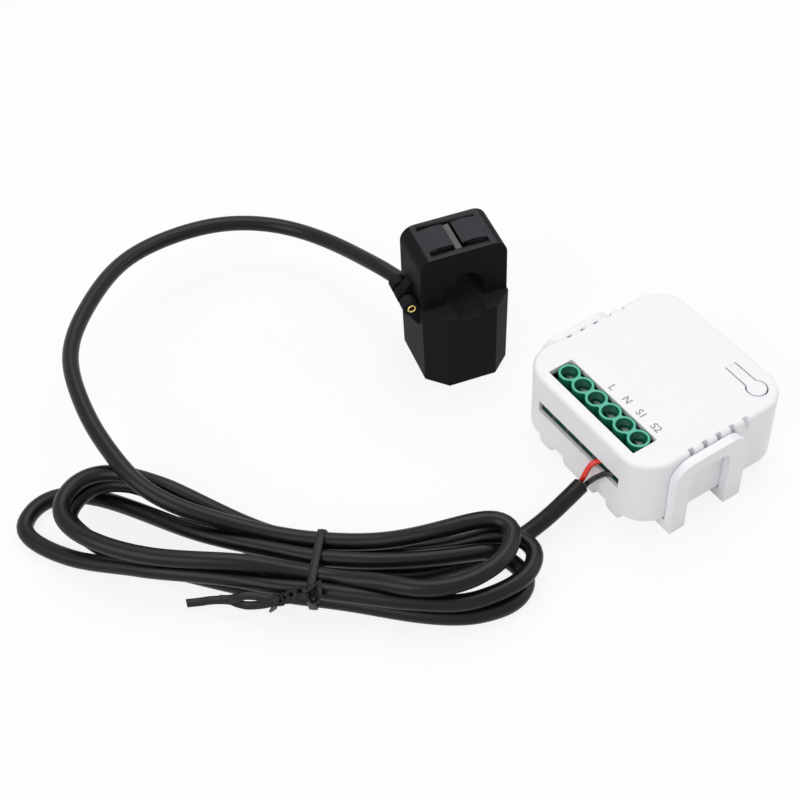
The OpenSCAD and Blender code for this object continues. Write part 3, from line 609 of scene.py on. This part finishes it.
def conductor(colour, side, finish):
    ahead = (cordPoints[-1] - cordPoints[-2]).normalized()
    across = ahead.cross(Vector((0, 0, 1))).normalized()
    start = cordPoints[-1] + across * side * conductors["aside"] * conductors["diameter"]
    straight = [start + ahead * out for out in conductors["lead"]]
    line = smoothed(straight + [Vector(p) for p in conductors[colour]], conductors["steps"])
    name = colour + "_conductor"
    curve = lineCurve(name, line, conductors["diameter"] / 2)
    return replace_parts(linked(name, curve, finish, "base"), colour + "_wire")


redPiece = conductor("red", -1, redInsulation)
blackPiece = conductor("black", 1, blackInsulation)
print("conductors laid")


# Twist tie: a flat band round the waist of the hank, its two ends twisted into a tail
tie = {
    "width": 1.9,
    "thickness": 0.5,
    "clearance": 0.08,
    "cornerShare": 0.45,
    "crown": 1.25,
    "weld": 1e-7,
    "crease": 50,
    "bandSteps": 96,
    "roundSteps": 32,
    "steps": 8,
    "twistTurns": 1.75,
    "twistRadius": 0.6,
    "lean": 0.63,
    # along, across and height of the knot, the twisted pair, its two loose ends and a bent stub
    "knot": [(1.6, -9.2, 11.3), (2.2, -11.2, 11), (1.9, -12.3, 9), (1.1, -12.7, 8.4), (0.2, -12.6, 9.4),
             (-0.3, -11.9, 10.5)],
    "start": [(1, -9.6, 10.6), (0.3, -10.4, 10.9)],
    "pair": [(-1.5, -11.3, 10.5), (-3.7, -11.7, 9.3), (-5.3, -12.1, 8.5), (-6.7, -12.4, 7.9)],
    "upper": [(-8.5, -12.4, 8.4), (-10.3, -12.2, 8.3), (-12.5, -12, 8.2), (-14.6, -11.9, 7.8),
              (-16.4, -11.8, 6.8), (-17.9, -11.6, 5.7), (-20.4, -11.3, 4.9)],
    "lower": [(-8.8, -12.2, 6.3), (-10.8, -11.9, 5), (-13.2, -11.6, 3.9), (-14.9, -11.4, 3.5),
              (-16.7, -11.3, 3.9), (-18.1, -11.2, 4.5), (-20.5, -11.1, 4.3), (-22.8, -11, 3.7),
              (-25.2, -10.9, 2.7), (-28.4, -10.8, 1.6)],
    "stub": [(-6.9, -12.6, 9.9), (-7.4, -13.3, 8.5), (-7.9, -13.2, 6.2), (-8.2, -12.9, 4.7)],
}


def ribbon(name, points, tilts, closed=False):
    half, thin = tie["width"] / 2, tie["thickness"] / 2
    outline = bpy.data.curves.new(name + "_outline", "CURVE")
    edge = outline.splines.new("POLY")
    corner = thin * tie["cornerShare"]
    corners = [(half, thin - corner), (half - corner, thin), (0, thin * tie["crown"])]
    corners += [(corner - half, thin), (-half, thin - corner)]
    corners += [(-x, -y) for x, y in corners]
    edge.points.add(len(corners) - 1)
    for dot, (x, y) in zip(edge.points, corners):
        dot.co = (x * mm, y * mm, 0, 1)
    edge.use_cyclic_u = True
    outlineObject = bpy.data.objects.new(name + "_outline", outline)
    path = lineCurve(name, points, 0)
    path.bevel_mode = "OBJECT"
    path.bevel_object = outlineObject
    path.splines[0].use_cyclic_u = closed
    path.twist_mode = "MINIMUM" if closed else "Z_UP"
    for dot, tilt in zip(path.splines[0].points, tilts):
        dot.tilt = tilt
    pathObject = bpy.data.objects.new(name + "_path", path)
    for item in (outlineObject, pathObject):
        scene.collection.objects.link(item)
    mesh = meshOf(pathObject)
    mesh.name = name
    for item in (pathObject, outlineObject):
        bpy.data.objects.remove(item)
    return mesh


# outline of the strands at the waist, half the band's thickness out
def bandLoop():
    reach = cordRadius + tie["clearance"] + tie["thickness"] / 2
    dots = []
    for i in crossings(cordPoints):
        across, height = inHank(cordPoints[i])[1], cordPoints[i].z
        for k in range(tie["roundSteps"]):
            turn = 2 * math.pi * k / tie["roundSteps"]
            dots.append(Vector((across + reach * math.cos(turn), height + reach * math.sin(turn))))
    hull = [dots[i] for i in geometry.convex_hull_2d(dots)]
    ring = evenly(hull + hull[:1], tie["bandSteps"])[:-1]
    return [hankPoint(0, across, max(height, tie["thickness"])) for across, height in ring]


def tailStrand(side, before, after):
    steps = tie["steps"]
    route = tie[before] + tie["pair"] + tie[after]
    axis = smoothed([hankPoint(*p) for p in route], steps)
    start, end = steps * len(tie[before]), steps * (len(tie[before]) + len(tie["pair"]) - 1)
    last = len(axis) - 1
    line, tilts = [], []
    for i, point in enumerate(axis):
        ahead = (axis[min(i + 1, last)] - axis[max(i - 1, 0)]).normalized()
        across = ahead.cross(Vector((0, 0, 1))).normalized()
        up = across.cross(ahead)
        share = min(1.0, max(0.0, (i - start) / (end - start)))
        turned = share * tie["twistTurns"] * 2 * math.pi
        bound = eased((i - start + steps) / steps) * eased((end + steps - i) / steps)
        offset = across * math.cos(turned) + up * math.sin(turned)
        line.append(point + offset * tie["twistRadius"] * bound * side)
        tilts.append(turned + tie["lean"])
    return line, tilts


def twistTie():
    loop = bandLoop()
    parts = [ribbon("band", loop, [0.0] * len(loop), True)]
    for side, before, after in ((1, "knot", "lower"), (-1, "start", "upper")):
        line, tilts = tailStrand(side, before, after)
        parts.append(ribbon("tail", line, tilts))
    stub = smoothed([hankPoint(*p) for p in tie["stub"]], tie["steps"])
    parts.append(ribbon("stub", stub, [0.0] * len(stub)))
    joined = bmesh.new()
    for part in parts:
        joined.from_mesh(part)
        bpy.data.meshes.remove(part)
    bmesh.ops.remove_doubles(joined, verts=joined.verts[:], dist=tie["weld"])
    bmesh.ops.recalc_face_normals(joined, faces=joined.faces[:])
    mesh = meshFrom(joined, "twist_tie_strip", tie["crease"])
    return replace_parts(linked("twist_tie_strip", mesh, tiePlastic, "base"), "twist_tie")


tiePiece = twistTie()
tuple(cordPoints[0] * mm)


# Moulded pieces: the solid's own form with its sharp edges softened
softening = {
    "weld": 1e-6,
    "flat": 0.6,
    "sharp": 35,
    "segments": 2,
    "crease": 50,
}


def softened(node, name, body, slot, finish, radius):
    reshape, crisp = reshaped.get(node), crispEdges.get(node)
    form = bmesh.new()
    form.from_mesh(nodes[node].data)
    bmesh.ops.remove_doubles(form, verts=form.verts[:], dist=softening["weld"])
    bmesh.ops.dissolve_limit(form, angle_limit=math.radians(softening["flat"]), verts=form.verts[:],
                             edges=form.edges[:])
    if reshape:
        for vert in form.verts:
            reshape(vert)
    least = math.radians(softening["sharp"])
    edges = [e for e in form.edges if len(e.link_faces) == 2 and e.calc_face_angle() > least]
    if crisp:
        edges = [e for e in edges if not all(crisp(v) for v in e.verts)]
    bmesh.ops.bevel(form, geom=edges, offset=radius * mm, offset_type="OFFSET", affect="EDGES",
                    segments=softening["segments"], profile=0.5, material=-1,
                    clamp_overlap=node in closeEdges)
    bmesh.ops.triangulate(form, faces=[f for f in form.faces if len(f.verts) > 4])
    piece = linked(name, meshFrom(form, name, softening["crease"]), finish, body)
    piece.modifiers.new("even_shading", "WEIGHTED_NORMAL").keep_sharp = True
    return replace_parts(piece, node)


# Cap of the clamp: low crowned pads, a web that joins the left pad, and a painted highlight strip along the
# web
clampTop = {
    "top": 38.8,
    "floor": 36.5,
    "slots": (-5.4, 5.1),
    "side": 7.8,
    # across from and to, rise at the two ends and in the middle
    "pad": [(-7.7, -1.5, 0.0, 0.34, 0.34), (0.8, 7.3, 0.26, 0.04, 0.36)],
    "padDepth": (-3.9, 4.0),
    "padFoot": 1.2,
    "padProud": 0.003,
    "padSteps": 20,
    "crease": 50,
    # painted highlight strip along the web: across from and to, depth from and to
    "strip": (-1.3, 0.2, -5.25, 3.95),
    "stripTall": 1.0,
    "stripProud": 0.01,
    # the left pad's wall moves over to meet the web
    "webFrom": -0.9,
    "webTo": -1.46,
    "webNear": 0.02,
}


def inSlots(vert):
    x, y, z = inClamp(vert.co)
    low, high = clampTop["slots"]
    return abs(x) < clampTop["side"] and low < y < high and z > clampTop["floor"]


def lowerPads(vert):
    x, y, z = inClamp(vert.co)
    if z > clampTop["top"]:
        vert.co.z = clampTop["top"] * mm
    if inSlots(vert) and abs(x - clampTop["webFrom"]) < clampTop["webNear"]:
        vert.co = clampPoint(clampTop["webTo"], y, z) * mm


# Terminals: the face in the wire slot sits back in its shade, the screws stand up in their rings
terminals = {
    "faceAt": -21.65,
    "setBack": 0.45,
    "screwLift": 0.9,
    "pitch": 5.0,
    "row": -15.2,
    "poles": 6,
    # width, depth and height of a neck, how far it stays under the rings' tops
    "neck": (0.7, 2.8, 3.0),
    "neckDrop": 0.004,
}


def setBack(vert):
    if vert.co.y < terminals["faceAt"] * mm:
        vert.co.y += terminals["setBack"] * mm


def liftScrews(vert):
    vert.co.z += terminals["screwLift"] * mm


# Tongue of the button: its root runs on into the top without a seam
tongue = {
    "root": (7.4, 16.4),
    "near": (0.3, 2.2),
    "overlap": 0.08,
}


def atRoot(vert):
    dx, dy = vert.co.x / mm - tongue["root"][0], vert.co.y / mm - tongue["root"][1]
    return abs(dx) < tongue["near"][0] and abs(dy) < tongue["near"][1]


def rootIn(vert):
    if atRoot(vert):
        vert.co.x -= tongue["overlap"] * mm


# name, body, slot, finish and edge radius of each moulded piece
moulded = {
    "top_housing": ("housing_shell", "base", "housing_white", whitePlastic, 0.14),
    "back_cover": ("back_plate", "base", "housing_white", whiteInner, 0.14),
    "mounting_bracket": ("side_bracket", "base", "housing_white", whitePlastic, 0.2),
    "button_tongue": ("push_tongue", "button", "housing_white", whitePlastic, 0.08),
    "terminal_block": ("terminal_body", "base", "terminal_green", terminalGreen, 0.1),
    "terminal_screws": ("slotted_screws", "base", "bright_steel", brightSteel, 0.08),
    "ct_lower_shell": ("clamp_shell", "base", "clamp_black", shellPlastic, 0.18),
    "ct_cap": ("clamp_cap", "cap", "clamp_black", clampPlastic, 0.18),
    "cord_gland": ("cord_sleeve", "base", "cord_black", sheathRubber, 0.15),
}
reshaped = {"ct_cap": lowerPads, "terminal_block": setBack, "terminal_screws": liftScrews,
            "button_tongue": rootIn}
# edges that stay sharp
crispEdges = {"ct_cap": inSlots, "top_housing": atRoot, "button_tongue": atRoot}
# edges too close together for the full radius
closeEdges = {"mounting_bracket"}
for node, row in moulded.items():
    softened(node, *row)
print("moulded pieces softened:", len(moulded))


def crownedPads():
    form = bmesh.new()
    top, steps, (front, rear) = clampTop["top"], clampTop["padSteps"], clampTop["padDepth"]
    foot = top - clampTop["padFoot"]
    for left, right, first, last, middle in clampTop["pad"]:
        outline = [(left, foot)]
        for k in range(steps + 1):
            t = k / steps
            rise = first + (last - first) * t + middle * 4 * t * (1 - t)
            outline.append((left + (right - left) * t, top + clampTop["padProud"] + rise))
        outline.append((right, foot))
        face = form.faces.new([form.verts.new(clampPoint(x, front, z) * mm) for x, z in outline])
        grown = bmesh.ops.extrude_face_region(form, geom=[face])["geom"]
        far = onTable((0, 0), cord["clampTurn"], 0, rear - front, 0) * mm
        bmesh.ops.translate(form, verts=[v for v in grown if isinstance(v, bmesh.types.BMVert)], vec=far)
    bmesh.ops.recalc_face_normals(form, faces=form.faces[:])
    mesh = meshFrom(form, "clamp_pads", clampTop["crease"])
    return linked("clamp_pads", mesh, clampPlastic, "cap")


# a box of the size, at its middle and turned about the vertical, all in mm
def addBox(form, middle, size, degrees=0.0):
    turn = Matrix.Rotation(math.radians(degrees), 4, "Z")
    scale = Matrix.Diagonal((*(Vector(size) * mm), 1))
    bmesh.ops.create_cube(form, size=1.0, matrix=Matrix.Translation(middle * mm) @ turn @ scale)


# a pale grey slab laid along the web: a painted highlight where the lit rib shines
def webHighlightStrip():
    (left, right, front, rear), tall = clampTop["strip"], clampTop["stripTall"]
    height = clampTop["top"] + clampTop["stripProud"] - tall / 2
    form = bmesh.new()
    middle = clampPoint((left + right) / 2, (front + rear) / 2, height)
    addBox(form, middle, (right - left, rear - front, tall), cord["clampTurn"])
    return linked("clamp_web_highlight", meshFrom(form, "clamp_web_highlight"), webHighlight, "cap")


# Necks between the terminal rings
def ringNecks():
    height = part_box("terminal_block")[1].z / mm - terminals["neckDrop"] - terminals["neck"][2] / 2
    form = bmesh.new()
    for i in range(1, terminals["poles"]):
        place = (i - terminals["poles"] / 2) * terminals["pitch"]
        addBox(form, Vector((place, terminals["row"], height)), terminals["neck"])
    mesh = meshFrom(form, "terminal_necks")
    return linked("terminal_necks", mesh, terminalGreen, "base")


# Hinge pin: a thin rolled tube
pin = {
    "at": (-56.025, -32.497, 23.7),
    "axis": (0.97318, -0.23005, 0),
    "radius": 1.12,
    "bore": 0.7,
    "ends": (-5.55, 5.65),
    "rim": 0.12,
    "steps": 48,
    "crease": 40,
}


def hingeTube():
    low, high = pin["ends"]
    bore, radius, rim = pin["bore"], pin["radius"], pin["rim"]
    outline = [(bore, low), (radius - rim, low), (radius, low + rim), (radius, high - rim),
               (radius - rim, high), (bore + rim, high), (bore, high - rim)]
    form = bmesh.new()
    dots = [form.verts.new((r * mm, 0, z * mm)) for r, z in outline]
    lines = [form.edges.new(pair) for pair in zip(dots, dots[1:] + dots[:1])]
    bmesh.ops.spin(form, geom=dots + lines, cent=(0, 0, 0), axis=(0, 0, 1), dvec=(0, 0, 0),
                   angle=2 * math.pi, steps=pin["steps"], use_merge=True, use_normal_flip=False,
                   use_duplicate=False)
    bmesh.ops.recalc_face_normals(form, faces=form.faces[:])
    mesh = meshFrom(form, "hinge_tube", pin["crease"])
    turn = Vector(pin["axis"]).to_track_quat("Z", "Y").to_matrix().to_4x4()
    mesh.transform(Matrix.Translation(Vector(pin["at"]) * mm) @ turn)
    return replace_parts(linked("hinge_tube", mesh, pinBrass, "base"), "ct_hinge_pin")


crownedPads()
webHighlightStrip()
ringNecks()
hingeTube()
print("pads, necks and hinge pin made")


# Pieces inside, which keep their own solids
inner = {
    cageBrass: ["wire_cages"],
    brightSteel: ["terminal_pins", "radio_shield"],
    boardGreen: ["circuit_board"],
    boardBlue: ["radio_board"],
    ferriteGrey: ["transformer_core", "core_lower", "core_upper"],
    coilTape: ["transformer_coil"],
    sleeveBlue: ["filter_capacitor", "surge_varistor"],
    chipEpoxy: ["bridge_rectifier", "metering_chip", "tact_switch"],
    plungerGrey: ["switch_plunger"],
    clampPlastic: ["ct_base_cover"],
    bobbinIvory: ["coil_bobbin"],
    copperTurns: ["coil_winding"],
}
# solids that a dressed piece stands for
hiddenFinish = {node: row[3] for node, row in moulded.items()}
hiddenFinish.update({"ct_hinge_pin": pinBrass, "cord_ct": sheathRubber, "cord_hank": sheathRubber,
                     "cord_module": sheathRubber, "red_wire": redInsulation, "black_wire": blackInsulation,
                     "twist_tie": tiePlastic})
for finish, members in inner.items():
    for node in members:
        coat(nodes[node].data, finish)
for node, finish in hiddenFinish.items():
    coat(nodes[node].data, finish)
print("inner pieces dressed")


# Plain letters beside the last four poles
legend = {
    "words": ["L", "N", "S1", "S2"],
    "at": [(-2.9, -10.3), (2.2, -10.1), (7.35, -10.2), (12.55, -10.2)],
    "size": 2.75,
    "weight": 0.04,
    "proud": 0.012,
}


def letter(word, at, top):
    text = bpy.data.curves.new("legend_" + word, "FONT")
    text.body = word
    text.size = legend["size"] * mm
    text.offset = legend["weight"] * mm
    text.align_x, text.align_y = "CENTER", "CENTER"
    text.extrude = legend["proud"] * mm
    maker = bpy.data.objects.new("legend_maker", text)
    scene.collection.objects.link(maker)
    mesh = meshOf(maker)
    bpy.data.objects.remove(maker)
    mesh.transform(Matrix.Translation((at[0] * mm, at[1] * mm, top)))
    return linked("legend_" + word, mesh, legendGrey, "base")


for word, at in zip(legend["words"], legend["at"]):
    letter(word, at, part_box("top_housing")[1].z)
print("legend set")


# Pale floor that keeps the shadow, soft studio light
studio = {
    "floor": 3.0,
    "floorDrop": 0.06,
    "floorTone": 0.9,
    # scale and detail of the floor's mottling, and its darker share
    "mottling": (60.0, 2.0),
    "mottledShare": 0.99,
    "glow": 0.85,
    "ambient": 0.42,
    "lamps": [
        {"name": "overhead", "from": (-200, 120, 560), "size": 460, "power": 1.65},
        {"name": "fill", "from": (60, -460, 320), "size": 360, "power": 1.05},
        {"name": "side", "from": (204, 359, 250), "size": 360, "power": 0.45},
    ],
}


def backdropShare(finish):
    path = [finish.add("ShaderNodeLightPath", {}, {}, out)
            for out in ("Is Camera Ray", "Is Glossy Ray", "Is Transmission Ray")]
    return path[0] + path[1] + path[2]


def layFloor():
    shape = bmesh.new()
    bmesh.ops.create_grid(shape, x_segments=1, y_segments=1, size=studio["floor"])
    bmesh.ops.translate(shape, verts=shape.verts[:], vec=(0, 0, -studio["floorDrop"] * mm))
    mesh = meshFrom(shape, "floor")
    floor = bpy.data.objects.new("floor", mesh)
    scene.collection.objects.link(floor)
    tone = studio["floorTone"]
    finish = Finish("floor_paper", Roughness=0.9, Specular_IOR_Level=0.0)
    mottled = tone * studio["mottledShare"]
    finish.feed("Base Color", finish.mix(finish.noise(*studio["mottling"]), (tone,) * 3, (mottled,) * 3))
    glow = finish.add("ShaderNodeEmission", {}, {"Color": (1, 1, 1, 1), "Strength": 1.0})
    lit = Signal(finish, finish.shader.outputs[0])
    share = backdropShare(finish) * studio["glow"]
    blend = finish.add("ShaderNodeMixShader", {}, {0: share, 1: lit, 2: glow})
    finish.tree.links.new(blend.socket, finish.tree.nodes["Material Output"].inputs["Surface"])
    coat(mesh, finish)


def lightStudio():
    world = bpy.data.worlds.new("studio")
    scene.world = world
    world.use_nodes = True
    sky = Nodes(world.node_tree)
    soft, white = [sky.add("ShaderNodeBackground", {}, {"Color": (1, 1, 1, 1), "Strength": strength})
                   for strength in (studio["ambient"], 1.0)]
    blend = sky.add("ShaderNodeMixShader", {}, {0: backdropShare(sky), 1: soft, 2: white})
    sky.tree.links.new(blend.socket, sky.tree.nodes["World Output"].inputs["Surface"])
    for lamp in studio["lamps"]:
        data = bpy.data.lights.new(lamp["name"], "AREA")
        data.size = lamp["size"] * mm
        data.energy = lamp["power"]
        lampObject = bpy.data.objects.new(lamp["name"], data)
        lampObject.location = Vector(lamp["from"]) * mm
        aim = Vector(view["target"]) - Vector(lamp["from"])
        lampObject.rotation_euler = aim.to_track_quat("-Z", "Y").to_euler()
        scene.collection.objects.link(lampObject)
    scene.view_settings.view_transform = "Standard"


layFloor()
lightStudio()
print("studio lit")
